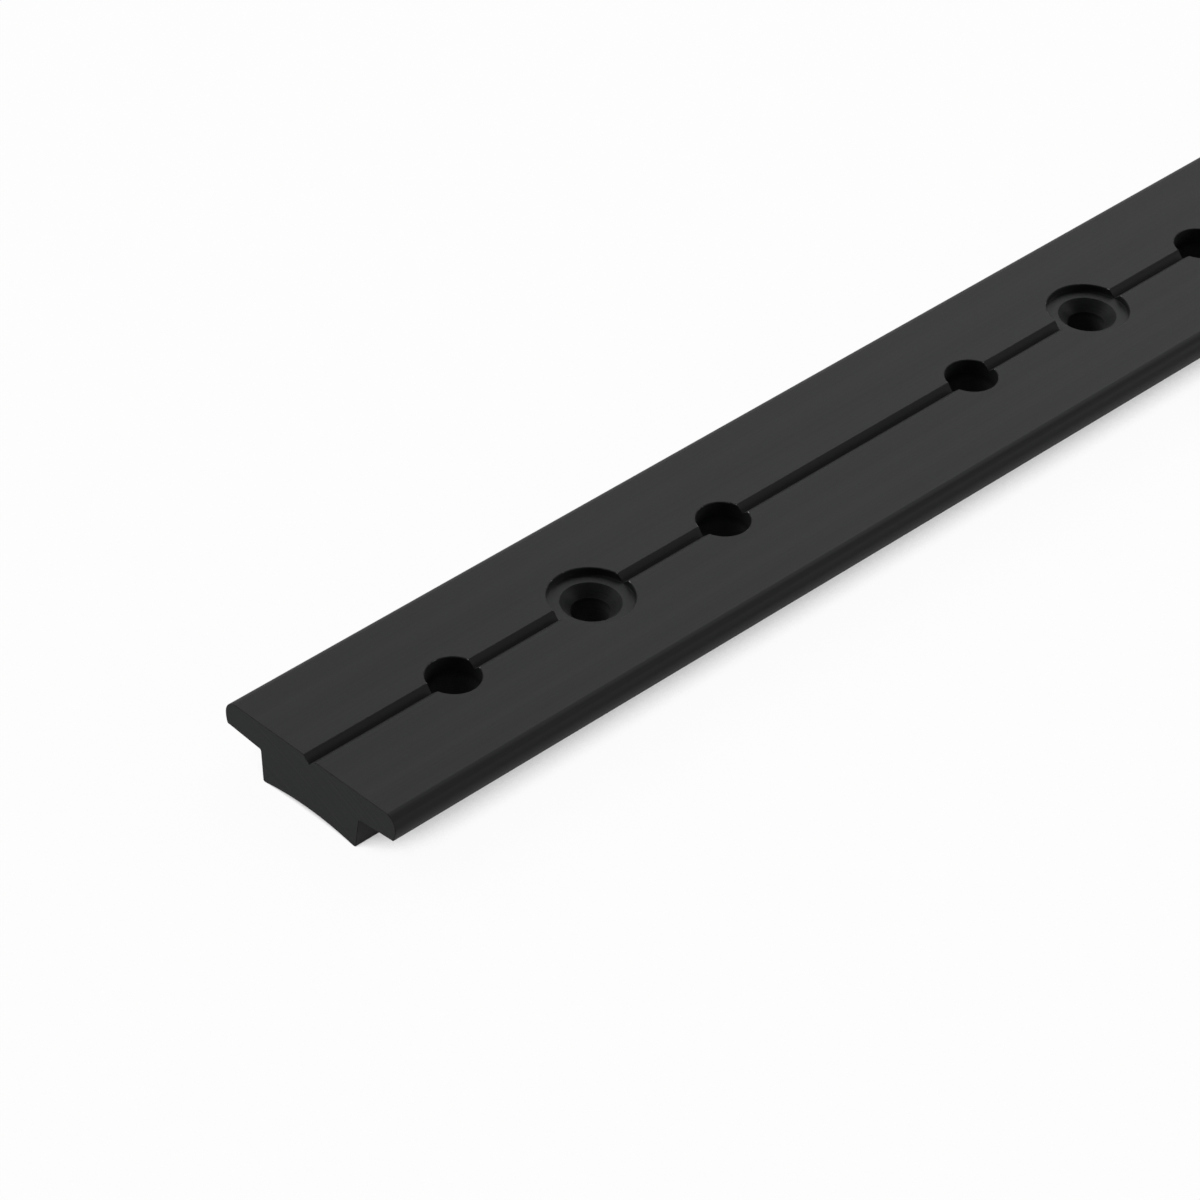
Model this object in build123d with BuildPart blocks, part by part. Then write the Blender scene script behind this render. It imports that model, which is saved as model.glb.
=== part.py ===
from build123d import *
import os

# Sail track section: one length of extruded aluminium T-track, drilled for its screws and
# for stop pins. It lies on its two feet. X runs along the track, Y across it and Z up, and
# the origin is under the middle of its length, level with the feet. Sizes are in millimetres.

track_length = 1000.0

# Head of the section, which the cars run on
head_width = 32.0
top_width = 28.8
edge_height = 3.8
bulge_drop = 2.0
edge_undercut = 0.35
root_height = 4.3
arris_radius = 0.15
edge_radius = 0.25

# Base of the section, which stands on the deck or mast
neck_width = 18.5
foot_width = 17.5
foot_land = 0.5
base_height = 4.9
hollow_rise = 0.8
neck_radius = 0.3
foot_radius = 0.3

# V-shaped centring groove along the middle of the top
groove_width = 2.2
groove_depth = 1.0

# Screw holes, evenly spaced along the track
screw_pitch = 100.0
least_end_distance = 50.0
shank_diameter = 5.5
sink_diameter = 8.4
sink_angle = 90.0
seat_diameter = 12.0
seat_depth = 1.1

# Plain holes for stop pins, one on each side of every screw hole
stop_diameter = 7.6
stop_offset = 25.0

height = base_height + root_height
screw_count = int((track_length - 2 * least_end_distance) / screw_pitch) + 1

# Corners of the section's right half, as (across, up)
groove_bottom = (0, height - groove_depth)
groove_lip = (groove_width / 2, height)
top_arris = (top_width / 2, height)
bulge = (head_width / 2, height - bulge_drop)
edge_corner = (head_width / 2 - edge_undercut, height - edge_height)
neck_corner = (neck_width / 2, base_height)
foot_corner = (foot_width / 2, 0)
hollow_edge = (foot_width / 2 - foot_land, 0)


def corner_pair(sketch, point):
    """The section's vertices at a point and at its mirror image."""
    return sketch.vertices().filter_by(
        lambda v: abs(abs(v.X) - point[0]) < 1e-6 and abs(v.Y - point[1]) < 1e-6
    )


with BuildPart() as track_rail:
    with BuildSketch(Plane.YZ.offset(-track_length / 2)) as section:
        with BuildLine():
            Polyline(groove_bottom, groove_lip, top_arris)
            # The rounded edge is upright at its bulge and turns in above and below it
            TangentArc(bulge, top_arris, tangent=(0, 1))
            TangentArc(bulge, edge_corner, tangent=(0, -1))
            Polyline(edge_corner, neck_corner, foot_corner, hollow_edge)
            TangentArc((0, hollow_rise), hollow_edge, tangent=(1, 0))
            mirror(about=Plane.YZ)
        make_face()
        fillet(corner_pair(section, top_arris), arris_radius)
        fillet(corner_pair(section, edge_corner), edge_radius)
        fillet(corner_pair(section, neck_corner), neck_radius)
        fillet(corner_pair(section, foot_corner), foot_radius)
    extrude(amount=track_length)

    # Each screw head sits in a flat-bottomed seat with a countersink in its floor
    with Locations(Plane.XY.offset(height)):
        with GridLocations(screw_pitch, 1, screw_count, 1):
            CounterBoreHole(shank_diameter / 2, seat_diameter / 2, seat_depth)
            with Locations((-stop_offset, 0), (stop_offset, 0)):
                Hole(stop_diameter / 2)
    with Locations(Plane.XY.offset(height - seat_depth)):
        with GridLocations(screw_pitch, 1, screw_count, 1):
            CounterSinkHole(
                shank_diameter / 2, sink_diameter / 2, counter_sink_angle=sink_angle
            )

track_rail.part.label = "track_rail"
os.makedirs("parts", exist_ok=True)
export_step(track_rail.part, "parts/track_rail.step")
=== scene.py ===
"""Dresses one length of black anodised T-track and sets it on a white studio floor."""

import math

import bmesh
import bpy
from mathutils import Euler, Matrix, Vector


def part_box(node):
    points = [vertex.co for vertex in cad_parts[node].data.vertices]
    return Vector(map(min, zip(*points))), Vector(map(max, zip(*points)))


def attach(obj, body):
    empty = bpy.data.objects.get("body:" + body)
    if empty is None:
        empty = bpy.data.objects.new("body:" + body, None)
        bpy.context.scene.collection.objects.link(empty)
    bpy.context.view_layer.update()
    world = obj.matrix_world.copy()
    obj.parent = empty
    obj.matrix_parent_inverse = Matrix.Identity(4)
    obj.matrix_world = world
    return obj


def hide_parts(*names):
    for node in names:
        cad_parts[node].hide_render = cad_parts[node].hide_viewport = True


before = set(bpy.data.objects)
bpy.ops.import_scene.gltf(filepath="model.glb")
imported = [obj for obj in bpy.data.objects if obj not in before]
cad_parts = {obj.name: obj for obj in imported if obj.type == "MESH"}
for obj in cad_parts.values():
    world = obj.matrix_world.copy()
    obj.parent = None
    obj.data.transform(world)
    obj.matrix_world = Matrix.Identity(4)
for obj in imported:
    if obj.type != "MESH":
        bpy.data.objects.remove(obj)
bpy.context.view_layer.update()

NODE = "track_rail"
BODY = "root"
MM = 0.001

# The section, in millimetres. Length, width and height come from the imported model.
TOP_WIDTH = 28.8
EDGE_HEIGHT = 3.8
BULGE_DROP = 2.0
EDGE_UNDERCUT = 0.35
ROOT_HEIGHT = 4.3
ARRIS_RADIUS = 0.15
EDGE_RADIUS = 0.25
NECK_WIDTH = 18.5
FOOT_WIDTH = 17.5
FOOT_LAND = 0.5
HOLLOW_RISE = 0.8
NECK_RADIUS = 0.3
FOOT_RADIUS = 0.3
GROOVE_WIDTH = 2.2
GROOVE_DEPTH = 1.0

# The holes, in millimetres
SCREW_PITCH = 100.0
LEAST_END_DISTANCE = 50.0
SHANK_RADIUS = 2.75
SINK_RADIUS = 4.2
SEAT_RADIUS = 6.0
SEAT_DEPTH = 1.1
STOP_RADIUS = 3.8
STOP_OFFSET = 25.0

# Small edge breaks that the finishing leaves, in millimetres
END_BREAK = 0.06
RIM_BREAK = 0.10
SINK_BREAK = 0.08
UNDER_BREAK = 0.15
SEAT_CORNER_RADIUS = 0.15

FILLET_STEPS = 5
EDGE_STEPS = 18
UNDERCUT_STEPS = 8
HOLLOW_STEPS = 20
SEAT_CORNER_STEPS = 3
SCREW_HOLE_SIDES = 128
STOP_HOLE_SIDES = 96
OVERSHOOT = 1.0
LEAST_MITRE = 0.5
COUNT_TOLERANCE = 0.001
SMOOTH_ANGLE = math.radians(24)
FLAT_FACE_WEIGHT = 100
SAME_PLACE = 0.0005 * MM

low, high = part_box(NODE)
LENGTH = (high.x - low.x) / MM
HEAD_WIDTH = (high.y - low.y) / MM
HEIGHT = (high.z - low.z) / MM
SEAT_FLOOR = HEIGHT - SEAT_DEPTH
SINK_FOOT = SEAT_FLOOR - (SINK_RADIUS - SHANK_RADIUS)

# Material slots of the track's mesh
SKIN, SAWN, DRILLED, RIM = range(4)


# Shapes

def arc(start, heading, end, steps):
    """Points after start of the arc that leaves it along heading and reaches end."""
    chord = end - start
    half_turn = heading.angle_signed(chord)
    across = chord.length / math.sin(half_turn)
    points = []
    for i in range(1, steps + 1):
        turned = half_turn * i / steps
        direction = heading.normalized()
        direction.rotate(Matrix.Rotation(-turned, 2))
        points.append(start + direction * across * math.sin(turned))
    return points


def round_corner(before, corner, after, radius):
    """Points of a fillet at a corner, between the directions to its two neighbours."""
    to_before = (before - corner).normalized()
    to_after = (after - corner).normalized()
    opening = to_before.angle(to_after)
    reach = radius / math.tan(opening / 2)
    first = corner + to_before * reach
    last = corner + to_after * reach
    return [first] + arc(first, -to_before, last, FILLET_STEPS)


def without_near(points, corner, reach):
    return [p for p in points if (p - corner).length > reach]


def half_outline():
    """The section's right half as (across, up), from the groove's lip round to the hollow."""
    groove_lip = Vector((GROOVE_WIDTH / 2, HEIGHT))
    top_arris = Vector((TOP_WIDTH / 2, HEIGHT))
    bulge = Vector((HEAD_WIDTH / 2, HEIGHT - BULGE_DROP))
    edge_corner = Vector((HEAD_WIDTH / 2 - EDGE_UNDERCUT, HEIGHT - EDGE_HEIGHT))
    neck_corner = Vector((NECK_WIDTH / 2, HEIGHT - ROOT_HEIGHT))
    foot_corner = Vector((FOOT_WIDTH / 2, 0))
    hollow_edge = Vector((FOOT_WIDTH / 2 - FOOT_LAND, 0))
    hollow_top = Vector((0, HOLLOW_RISE))

    up_side = arc(bulge, Vector((0, 1)), top_arris, EDGE_STEPS)[::-1]
    down_side = arc(bulge, Vector((0, -1)), edge_corner, UNDERCUT_STEPS)
    hollow = arc(hollow_top, Vector((1, 0)), hollow_edge, HOLLOW_STEPS)[::-1]
    points = [groove_lip]
    points += round_corner(groove_lip, top_arris, up_side[1], ARRIS_RADIUS)
    points += without_near(up_side, top_arris, ARRIS_RADIUS)
    points += [bulge]
    points += without_near(down_side, edge_corner, EDGE_RADIUS)
    points += round_corner(down_side[-2], edge_corner, neck_corner, EDGE_RADIUS)
    points += round_corner(edge_corner, neck_corner, foot_corner, NECK_RADIUS)
    points += round_corner(neck_corner, foot_corner, hollow_edge, FOOT_RADIUS)
    return points + hollow


def outline():
    """The whole section, once round, clockwise as seen from the far end."""
    right = half_outline()
    left = [Vector((-p.x, p.y)) for p in reversed(right)]
    groove_bottom = Vector((0, HEIGHT - GROOVE_DEPTH))
    return right + [Vector((0, HOLLOW_RISE))] + left + [groove_bottom]


def inset(points, distance):
    """The outline moved inwards by a small distance, with mitred corners."""
    moved = []
    for i, point in enumerate(points):
        before = (point - points[i - 1]).normalized()
        after = (points[(i + 1) % len(points)] - point).normalized()
        inward = Vector((before.y, -before.x)) + Vector((after.y, -after.x))
        inward.normalize()
        mitre = max(inward.dot(Vector((before.y, -before.x))), LEAST_MITRE)
        moved.append(point + inward * distance / mitre)
    return moved


def mesh_object(name, bm, materials):
    """A linked object that takes over a bmesh."""
    mesh = bpy.data.meshes.new(name)
    bm.to_mesh(mesh)
    bm.free()
    for material in materials:
        mesh.materials.append(material)
    made = bpy.data.objects.new(name, mesh)
    bpy.context.scene.collection.objects.link(made)
    return made


def bar_object(materials):
    """The extruded section, with both sawn ends."""
    full = outline()
    small = inset(full, END_BREAK)
    half = LENGTH / 2
    stations = [(-half, small), (-half + END_BREAK, full), (half - END_BREAK, full), (half, small)]
    bm = bmesh.new()
    rings = []
    for x, points in stations:
        rings.append([bm.verts.new(Vector((x, p.x, p.y)) * MM) for p in points])
    for ring, following in zip(rings, rings[1:]):
        for i in range(len(ring)):
            face = bm.faces.new((ring[i - 1], ring[i], following[i], following[i - 1]))
            face.material_index = SKIN
    for ring in (rings[0][::-1], rings[-1]):
        bm.faces.new(ring).material_index = SAWN
    bmesh.ops.recalc_face_normals(bm, faces=bm.faces)
    return mesh_object("sail_track", bm, materials)


def screw_hole_profile():
    """(radius, up) from the top of a screw hole's cutter to its foot, with each face's slot."""
    corner = [
        (
            SEAT_RADIUS - SEAT_CORNER_RADIUS * (1 - math.cos(turn)),
            SEAT_FLOOR + SEAT_CORNER_RADIUS * (1 - math.sin(turn)),
        )
        for turn in (math.pi / 2 * i / SEAT_CORNER_STEPS for i in range(SEAT_CORNER_STEPS + 1))
    ]
    return (
        [((SEAT_RADIUS + RIM_BREAK + OVERSHOOT, HEIGHT + OVERSHOOT), RIM)]
        + [((SEAT_RADIUS, HEIGHT - RIM_BREAK), DRILLED)]
        + [(point, DRILLED) for point in corner]
        + [((SINK_RADIUS, SEAT_FLOOR), DRILLED)]
        + [((SHANK_RADIUS + SINK_BREAK, SINK_FOOT + SINK_BREAK), RIM)]
        + [((SHANK_RADIUS, SINK_FOOT - SINK_BREAK), DRILLED)]
        + [((SHANK_RADIUS, HOLLOW_RISE + UNDER_BREAK), RIM)]
        + [((SHANK_RADIUS + UNDER_BREAK + HOLLOW_RISE + OVERSHOOT, -OVERSHOOT), None)]
    )


def stop_hole_profile():
    return [
        ((STOP_RADIUS + RIM_BREAK + OVERSHOOT, HEIGHT + OVERSHOOT), RIM),
        ((STOP_RADIUS, HEIGHT - RIM_BREAK), DRILLED),
        ((STOP_RADIUS, HOLLOW_RISE + UNDER_BREAK), RIM),
        ((STOP_RADIUS + UNDER_BREAK + HOLLOW_RISE + OVERSHOOT, -OVERSHOOT), None),
    ]


def add_cutter(bm, x, profile, sides):
    """Turns a profile about the upright axis at x and closes its top and foot."""
    rings = []
    for (radius, up), _slot in profile:
        turns = [math.tau * (i + 0.5) / sides for i in range(sides)]
        rings.append([
            bm.verts.new(Vector((x + radius * math.cos(t), radius * math.sin(t), up)) * MM)
            for t in turns
        ])
    for (_point, slot), ring, following in zip(profile, rings, rings[1:]):
        for i in range(sides):
            face = bm.faces.new((ring[i - 1], ring[i], following[i], following[i - 1]))
            face.material_index = slot
    bm.faces.new(rings[0])
    bm.faces.new(rings[-1][::-1])


def cutter_object(materials):
    """Every hole of the track, as one mesh of separate turned cutters."""
    drilled_length = LENGTH - 2 * LEAST_END_DISTANCE
    screw_count = int(drilled_length / SCREW_PITCH + COUNT_TOLERANCE) + 1
    bm = bmesh.new()
    for i in range(screw_count):
        x = (i - (screw_count - 1) / 2) * SCREW_PITCH
        add_cutter(bm, x, screw_hole_profile(), SCREW_HOLE_SIDES)
        for offset in (-STOP_OFFSET, STOP_OFFSET):
            add_cutter(bm, x + offset, stop_hole_profile(), STOP_HOLE_SIDES)
    bmesh.ops.recalc_face_normals(bm, faces=bm.faces)
    return mesh_object("hole_cutters", bm, materials)


def apply_modifiers(made):
    graph = bpy.context.evaluated_depsgraph_get()
    finished = bpy.data.meshes.new_from_object(made.evaluated_get(graph))
    made.modifiers.clear()
    made.data = finished


def track_object(materials):
    """The drilled track, with flat faces that stay flat beside their fillets."""
    track = bar_object(materials)
    cutters = cutter_object(materials)
    cut = track.modifiers.new("holes", "BOOLEAN")
    cut.operation = "DIFFERENCE"
    cut.solver = "EXACT"
    cut.material_mode = "TRANSFER"
    cut.object = cutters
    apply_modifiers(track)
    bpy.data.objects.remove(cutters)

    bm = bmesh.new()
    bm.from_mesh(track.data)
    bmesh.ops.remove_doubles(bm, verts=bm.verts, dist=SAME_PLACE)
    bmesh.ops.dissolve_degenerate(bm, edges=bm.edges, dist=SAME_PLACE)
    bm.to_mesh(track.data)
    bm.free()
    track.data.shade_smooth()
    track.data.set_sharp_from_angle(angle=SMOOTH_ANGLE)
    flatten = track.modifiers.new("flat_faces", "WEIGHTED_NORMAL")
    flatten.keep_sharp = True
    flatten.weight = FLAT_FACE_WEIGHT
    apply_modifiers(track)
    return track


# Materials

class Nodes:
    """A material's node tree, with short calls for the nodes that the finishes share."""

    def __init__(self, name):
        self.material = bpy.data.materials.new(name)
        self.material.use_nodes = True
        self.tree = self.material.node_tree
        self.tree.nodes.clear()
        self.output = self.add("ShaderNodeOutputMaterial")

    def add(self, kind, **settings):
        node = self.tree.nodes.new(kind)
        for name, value in settings.items():
            setattr(node, name, value)
        return node

    def link(self, source, target):
        self.tree.links.new(source, target)

    def place(self):
        """Coordinates on the object, in metres."""
        return self.add("ShaderNodeTexCoord").outputs["Object"]

    def math(self, operation, *values):
        node = self.add("ShaderNodeMath", operation=operation)
        for socket, value in zip(node.inputs, values):
            if isinstance(value, (int, float)):
                socket.default_value = value
            else:
                self.link(value, socket)
        return node.outputs[0]

    def noise(self, place, stretch, detail, roughness=0.55):
        """Noise with its cells per metre along X, Y and Z."""
        mapping = self.add("ShaderNodeMapping")
        mapping.inputs["Scale"].default_value = stretch
        self.link(place, mapping.inputs["Vector"])
        noise = self.add("ShaderNodeTexNoise")
        noise.inputs["Scale"].default_value = 1.0
        noise.inputs["Detail"].default_value = detail
        noise.inputs["Roughness"].default_value = roughness
        self.link(mapping.outputs[0], noise.inputs["Vector"])
        return noise.outputs["Fac"]

    def rings(self, distance, per_metre, detail):
        """Irregular stripes along a distance in metres."""
        noise = self.add("ShaderNodeTexNoise", noise_dimensions="1D")
        noise.inputs["Scale"].default_value = per_metre
        noise.inputs["Detail"].default_value = detail
        self.link(distance, noise.inputs["W"])
        return noise.outputs["Fac"]

    def span(self, value, from_low, from_high, to_low, to_high):
        node = self.add("ShaderNodeMapRange")
        for name, number in (
            ("From Min", from_low),
            ("From Max", from_high),
            ("To Min", to_low),
            ("To Max", to_high),
        ):
            node.inputs[name].default_value = number
        self.link(value, node.inputs["Value"])
        return node.outputs["Result"]

    def ramp(self, value, *stops):
        node = self.add("ShaderNodeValToRGB")
        elements = node.color_ramp.elements
        while len(elements) < len(stops):
            elements.new(0.5)
        for element, (place, colour) in zip(elements, stops):
            element.position = place
            element.color = (*colour, 1.0)
        self.link(value, node.inputs["Fac"])
        return node.outputs["Color"]

    def blend(self, share, first, second):
        """The first colour where share is 0 and the second where it is 1."""
        node = self.add("ShaderNodeMix", data_type="RGBA")
        self.link(share, node.inputs["Factor"])
        colour_sockets = [socket for socket in node.inputs if socket.type == "RGBA"]
        self.link(first, colour_sockets[0])
        self.link(second, colour_sockets[1])
        return next(socket for socket in node.outputs if socket.type == "RGBA")

    def depth(self, place):
        """0 down to the countersinks' feet and 1 well inside the bores: the share of painted light
        in the bores.
        """
        parts = self.add("ShaderNodeSeparateXYZ")
        self.link(place, parts.inputs[0])
        return self.span(
            parts.outputs["Z"], SINK_FOOT * MM, (SINK_FOOT - PAINTED_LIGHT_FADE) * MM, 0.0, 1.0
        )

    def bump(self, height, depth, after=None):
        """Relief of a height map, depth in metres, over an earlier relief."""
        node = self.add("ShaderNodeBump")
        node.inputs["Strength"].default_value = 1.0
        node.inputs["Distance"].default_value = depth
        self.link(height, node.inputs["Height"])
        if after is not None:
            self.link(after, node.inputs["Normal"])
        return node.outputs["Normal"]

    def surface(self, colour, roughness, normal, **fixed):
        shader = self.add("ShaderNodeBsdfPrincipled")
        for name, value in fixed.items():
            shader.inputs[name.replace("_", " ")].default_value = value
        self.link(colour, shader.inputs["Base Color"])
        self.link(roughness, shader.inputs["Roughness"])
        self.link(normal, shader.inputs["Normal"])
        self.link(shader.outputs[0], self.output.inputs["Surface"])
        return self.material


FILM_DARK = (0.0176, 0.0181, 0.0178)
FILM_MEAN = (0.0222, 0.0227, 0.0224)
FILM_PALE = (0.0272, 0.0278, 0.0274)
SAWN_DARK = (0.0137, 0.0157, 0.0147)
SAWN_MEAN = (0.0171, 0.0195, 0.0183)
SAWN_PALE = (0.0216, 0.0245, 0.0230)
CUT_DARK = (0.0132, 0.0139, 0.0136)
CUT_PALE = (0.0200, 0.0210, 0.0206)
# Painted light: lighter colours deep in the bores, standing in for light that reaches into them
BORE_PAINTED_LIGHT_DARK = (0.0390, 0.0405, 0.0398)
BORE_PAINTED_LIGHT_PALE = (0.0560, 0.0580, 0.0570)
# Pale colour of the top rims: partly worn film, partly painted glints
WORN_AND_GLINT = (0.2200, 0.2240, 0.2210)
CORNER_WEAR_AND_GLINT = 0.28
CORNER_WEAR_AND_GLINT_REACH = 0.7
PAINTED_LIGHT_FADE = 1.0
BLADE_CENTRE = (0.0, 0.06, -0.14)


def skin_material():
    """Extruded and anodised: long die lines, fine streaks and a satin grain."""
    n = Nodes("anodised_skin")
    place = n.place()
    streaks = n.noise(place, (7, 2400, 2400), 4)
    die_lines = n.noise(place, (1.2, 420, 420), 3)
    clouds = n.noise(place, (14, 40, 40), 2)
    grain = n.noise(place, (5200, 5200, 5200), 2)
    tone = n.math("ADD", n.math("MULTIPLY", streaks, 0.45), n.math("MULTIPLY", die_lines, 0.35))
    tone = n.math("ADD", tone, n.math("MULTIPLY", clouds, 0.20))
    colour = n.ramp(tone, (0.34, FILM_DARK), (0.50, FILM_MEAN), (0.68, FILM_PALE))
    roughness = n.span(n.math("ADD", streaks, grain), 0.6, 1.4, 0.40, 0.54)
    relief = n.bump(die_lines, 0.000006)
    relief = n.bump(streaks, 0.000003, relief)
    relief = n.bump(grain, 0.0000035, relief)
    return n.surface(colour, roughness, relief, Specular_IOR_Level=0.05)


def sawn_material():
    """Ends that a large saw blade cut before the track was anodised."""
    n = Nodes("anodised_saw_cut")
    place = n.place()
    from_centre = n.add("ShaderNodeVectorMath", operation="SUBTRACT")
    n.link(place, from_centre.inputs[0])
    from_centre.inputs[1].default_value = BLADE_CENTRE
    flat = n.add("ShaderNodeVectorMath", operation="MULTIPLY")
    n.link(from_centre.outputs[0], flat.inputs[0])
    flat.inputs[1].default_value = (0.0, 1.0, 1.0)
    radius = n.add("ShaderNodeVectorMath", operation="LENGTH")
    n.link(flat.outputs[0], radius.inputs[0])
    strokes = n.rings(radius.outputs["Value"], 2600, 3)
    grain = n.noise(place, (5200, 5200, 5200), 3)
    tone = n.math("ADD", n.math("MULTIPLY", strokes, 0.6), n.math("MULTIPLY", grain, 0.4))
    colour = n.ramp(tone, (0.34, SAWN_DARK), (0.50, SAWN_MEAN), (0.66, SAWN_PALE))
    roughness = n.span(grain, 0.3, 0.7, 0.50, 0.62)
    relief = n.bump(strokes, 0.000010)
    relief = n.bump(grain, 0.000006, relief)
    return n.surface(colour, roughness, relief, Specular_IOR_Level=0.12)


def turned_marks(n, place):
    """Tool marks round each hole, over its flats and down its walls."""
    parts = n.add("ShaderNodeSeparateXYZ")
    n.link(place, parts.inputs[0])
    spacing = STOP_OFFSET * MM
    along = n.math("WRAP", parts.outputs["X"], spacing / 2, -spacing / 2)
    squares = n.math(
        "ADD",
        n.math("MULTIPLY", along, along),
        n.math("MULTIPLY", parts.outputs["Y"], parts.outputs["Y"]),
    )
    distance = n.math("ADD", n.math("SQRT", squares), parts.outputs["Z"])
    return n.rings(distance, 5200, 3)


def drilled_material():
    """Seats, countersinks and bores: turned, then anodised, with painted light deep inside the
    bores that makes them lighter.
    """
    n = Nodes("anodised_drilled")
    place = n.place()
    marks = turned_marks(n, place)
    grain = n.noise(place, (4200, 4200, 4200), 2)
    tone = n.math("ADD", n.math("MULTIPLY", marks, 0.7), n.math("MULTIPLY", grain, 0.3))
    open_colour = n.ramp(tone, (0.32, CUT_DARK), (0.68, CUT_PALE))
    painted_light_bore_colour = n.ramp(tone, (0.32, BORE_PAINTED_LIGHT_DARK), (0.68, BORE_PAINTED_LIGHT_PALE))
    # Painted light: deeper in the bores the colour blends to the lighter painted-light tones
    colour = n.blend(n.depth(place), open_colour, painted_light_bore_colour)
    roughness = n.span(marks, 0.3, 0.7, 0.32, 0.46)
    relief = n.bump(marks, 0.000008)
    relief = n.bump(grain, 0.000003, relief)
    return n.surface(colour, roughness, relief, Specular_IOR_Level=0.045)


def rim_material():
    """Broken edges of the holes. On top they carry pale spots, partly worn film and partly painted
    glints, most at the groove.
    """
    n = Nodes("anodised_rim")
    place = n.place()
    parts = n.add("ShaderNodeSeparateXYZ")
    n.link(place, parts.inputs[0])
    from_lip = n.math("SUBTRACT", n.math("ABSOLUTE", parts.outputs["Y"]), GROOVE_WIDTH / 2 * MM)
    # Painted glints, with wear, gathered at the groove's lips
    corner = n.span(n.math("ABSOLUTE", from_lip), 0.0, CORNER_WEAR_AND_GLINT_REACH * MM, CORNER_WEAR_AND_GLINT, 0.0)
    rubbed = n.noise(place, (900, 900, 900), 3, 0.6)
    on_top = n.span(parts.outputs["Z"], (SEAT_FLOOR - 0.1) * MM, SEAT_FLOOR * MM, 0.0, 1.0)
    wear_and_glint = n.math("MULTIPLY", n.math("ADD", rubbed, corner), on_top)
    grain = n.noise(place, (4200, 4200, 4200), 2)
    # Pale where worn and where glints are painted
    colour = n.ramp(wear_and_glint, (0.60, FILM_MEAN), (0.78, WORN_AND_GLINT))
    roughness = n.span(wear_and_glint, 0.60, 0.78, 0.46, 0.30)
    relief = n.bump(grain, 0.000003)
    return n.surface(colour, roughness, relief, Specular_IOR_Level=0.08)


# Studio

SWEEP_RADIUS = 9.0
SWEEP_BEND = 2.0
SWEEP_HEIGHT = 5.5
SWEEP_SIDES = 96
SWEEP_BEND_STEPS = 12
FLOOR_COLOUR = (0.62, 0.62, 0.62, 1.0)
BACKGROUND_SHARE = 0.96
# Reach of the painted shade that ambient occlusion puts on the floor's glow, in metres
PAINTED_SHADE_REACH = 0.015
WORLD_LIGHT = 0.10

CAMERA_PLACE = Vector((-0.82496, -0.35827, 0.41534))
CAMERA_AZIMUTH = 43.566
CAMERA_ELEVATION = 38.114
CAMERA_ROLL = 2.87
CAMERA_LENS = 149.84
SENSOR_WIDTH = 36.0

# Softboxes: direction from the track's middle as azimuth from +X and elevation, in
# degrees, then distance and sizes in metres, and power in watts
SOFTBOXES = {
    "back_softbox": (34, 45, 3.0, 3.2, 2.2, 82),
    "left_softbox": (120, 38, 3.0, 2.4, 1.8, 47),
    "low_softbox": (-52, 16, 3.0, 2.2, 0.9, 30),
}


def seen_ray(nodes, links):
    """1 for what the camera sees, straight, in a gloss or through glass."""
    path = nodes.new("ShaderNodeLightPath")
    seen = path.outputs["Is Camera Ray"]
    for name in ("Is Glossy Ray", "Is Transmission Ray"):
        either = nodes.new("ShaderNodeMath")
        either.operation = "MAXIMUM"
        links.new(seen, either.inputs[0])
        links.new(path.outputs[name], either.inputs[1])
        seen = either.outputs[0]
    return seen


def floor_material():
    """A white sweep that still takes the track's shadow; its white glow is dimmed by ambient
    occlusion, a painted shade where the track covers it.
    """
    n = Nodes("white_floor")
    plain = n.add("ShaderNodeBsdfDiffuse")
    plain.inputs["Color"].default_value = FLOOR_COLOUR
    white = n.add("ShaderNodeEmission")
    white.inputs["Strength"].default_value = 1.0
    # Painted shade: ambient occlusion dims the white glow near and under the track
    painted_shade_occlusion = n.add("ShaderNodeAmbientOcclusion", samples=8)
    painted_shade_occlusion.inputs["Distance"].default_value = PAINTED_SHADE_REACH
    unshaded_share = n.span(painted_shade_occlusion.outputs["AO"], 0.02, 0.35, 0.0, BACKGROUND_SHARE)
    share = n.math("MULTIPLY", seen_ray(n.tree.nodes, n.tree.links), unshaded_share)
    mix = n.add("ShaderNodeMixShader")
    n.link(share, mix.inputs["Fac"])
    n.link(plain.outputs[0], mix.inputs[1])
    n.link(white.outputs[0], mix.inputs[2])
    n.link(mix.outputs[0], n.output.inputs["Surface"])
    return n.material


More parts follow.
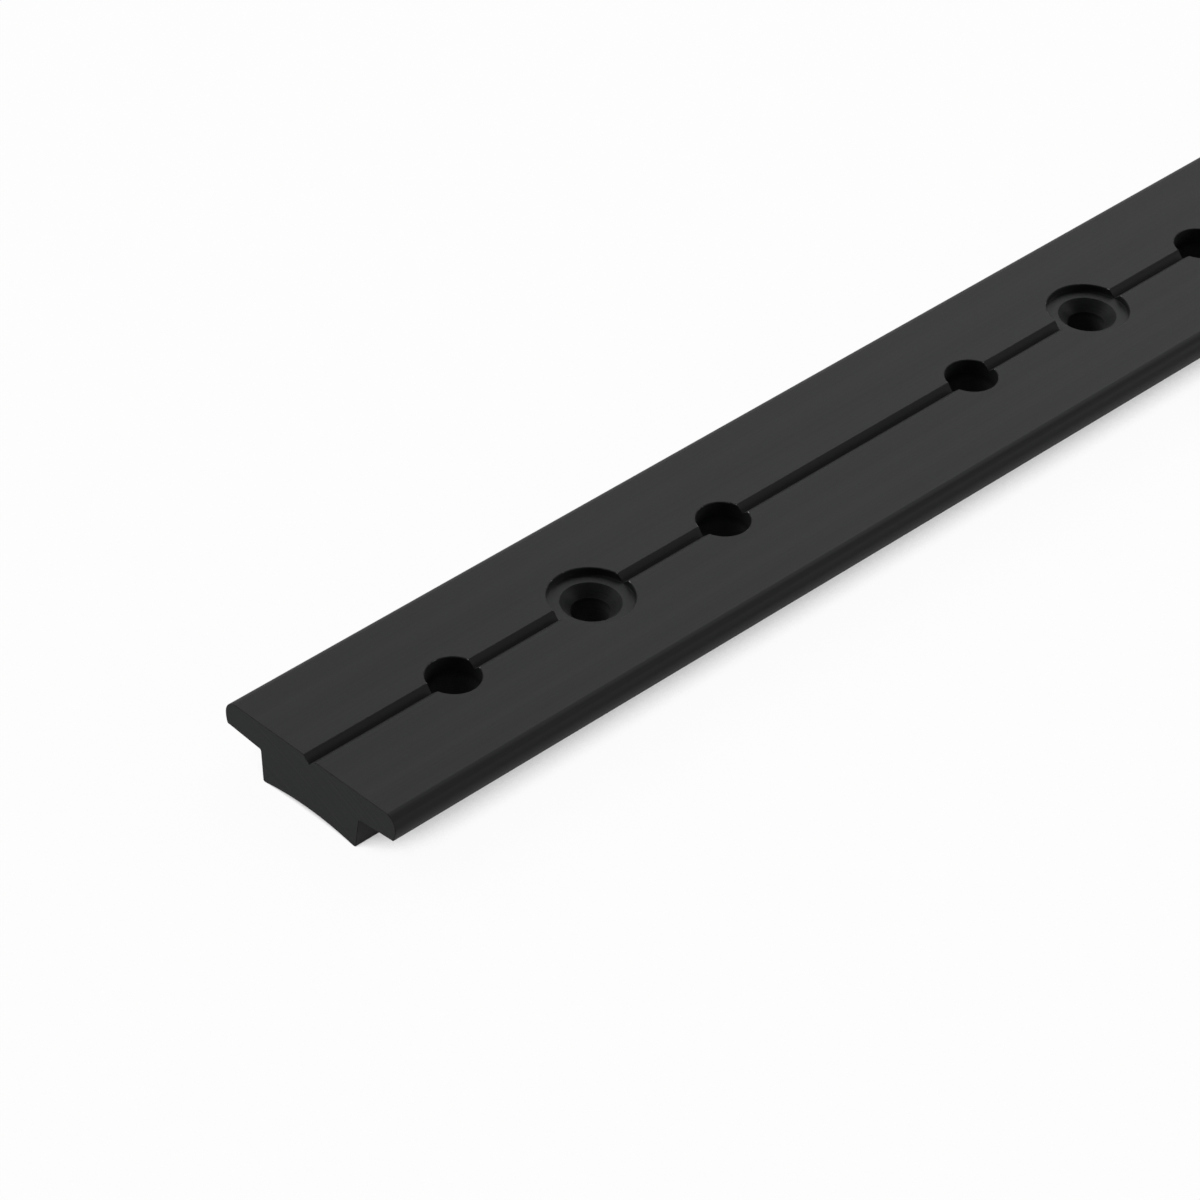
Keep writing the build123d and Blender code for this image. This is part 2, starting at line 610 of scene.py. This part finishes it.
def add_floor():
    """A round floor that bends up into a low wall, so that low views end in white too."""
    bends = [math.radians(90 * i / SWEEP_BEND_STEPS) for i in range(SWEEP_BEND_STEPS + 1)]
    profile = [
        (SWEEP_RADIUS + SWEEP_BEND * math.sin(bend), SWEEP_BEND * (1 - math.cos(bend)))
        for bend in bends
    ] + [(SWEEP_RADIUS + SWEEP_BEND, SWEEP_HEIGHT)]
    bm = bmesh.new()
    rings = []
    for radius, up in profile:
        turns = [math.tau * i / SWEEP_SIDES for i in range(SWEEP_SIDES)]
        rings.append([
            bm.verts.new((radius * math.cos(t), radius * math.sin(t), up)) for t in turns
        ])
    bm.faces.new(rings[0])
    for ring, following in zip(rings, rings[1:]):
        for i in range(SWEEP_SIDES):
            bm.faces.new((ring[i - 1], ring[i], following[i], following[i - 1])).smooth = True
    floor = mesh_object("floor", bm, [floor_material()])


def set_world():
    world = bpy.data.worlds.new("studio")
    bpy.context.scene.world = world
    world.use_nodes = True
    world.node_tree.nodes["Background"].inputs["Strength"].default_value = WORLD_LIGHT
    world.node_tree.nodes["Background"].inputs["Color"].default_value = (1.0, 1.0, 1.0, 1.0)


def direction(azimuth, elevation):
    azimuth, elevation = math.radians(azimuth), math.radians(elevation)
    return Vector((
        math.cos(elevation) * math.cos(azimuth),
        math.cos(elevation) * math.sin(azimuth),
        math.sin(elevation),
    ))


def add_softboxes():
    for name, (azimuth, elevation, distance, wide, high, power) in SOFTBOXES.items():
        lamp = bpy.data.lights.new(name, "AREA")
        lamp.shape = "RECTANGLE"
        lamp.size, lamp.size_y = wide, high
        lamp.energy = power
        placed = bpy.data.objects.new(name, lamp)
        towards = direction(azimuth, elevation)
        placed.location = towards * distance
        placed.rotation_euler = towards.to_track_quat("Z", "Y").to_euler()
        bpy.context.scene.collection.objects.link(placed)


def add_camera():
    camera = bpy.data.cameras.new("camera")
    camera.lens = CAMERA_LENS
    camera.sensor_width = SENSOR_WIDTH
    camera.clip_start = 0.01
    camera.clip_end = 100.0
    placed = bpy.data.objects.new("camera", camera)
    aim = direction(CAMERA_AZIMUTH, -CAMERA_ELEVATION).to_track_quat("-Z", "Y").to_matrix()
    roll = Euler((0, 0, math.radians(CAMERA_ROLL))).to_matrix()
    placed.matrix_world = Matrix.Translation(CAMERA_PLACE) @ (aim @ roll).to_4x4()
    bpy.context.scene.collection.objects.link(placed)
    bpy.context.scene.camera = placed


add_camera()
set_world()
add_softboxes()
add_floor()
bpy.context.scene.view_settings.view_transform = "Standard"

track = track_object([skin_material(), sawn_material(), drilled_material(), rim_material()])
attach(track, BODY)
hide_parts(NODE)
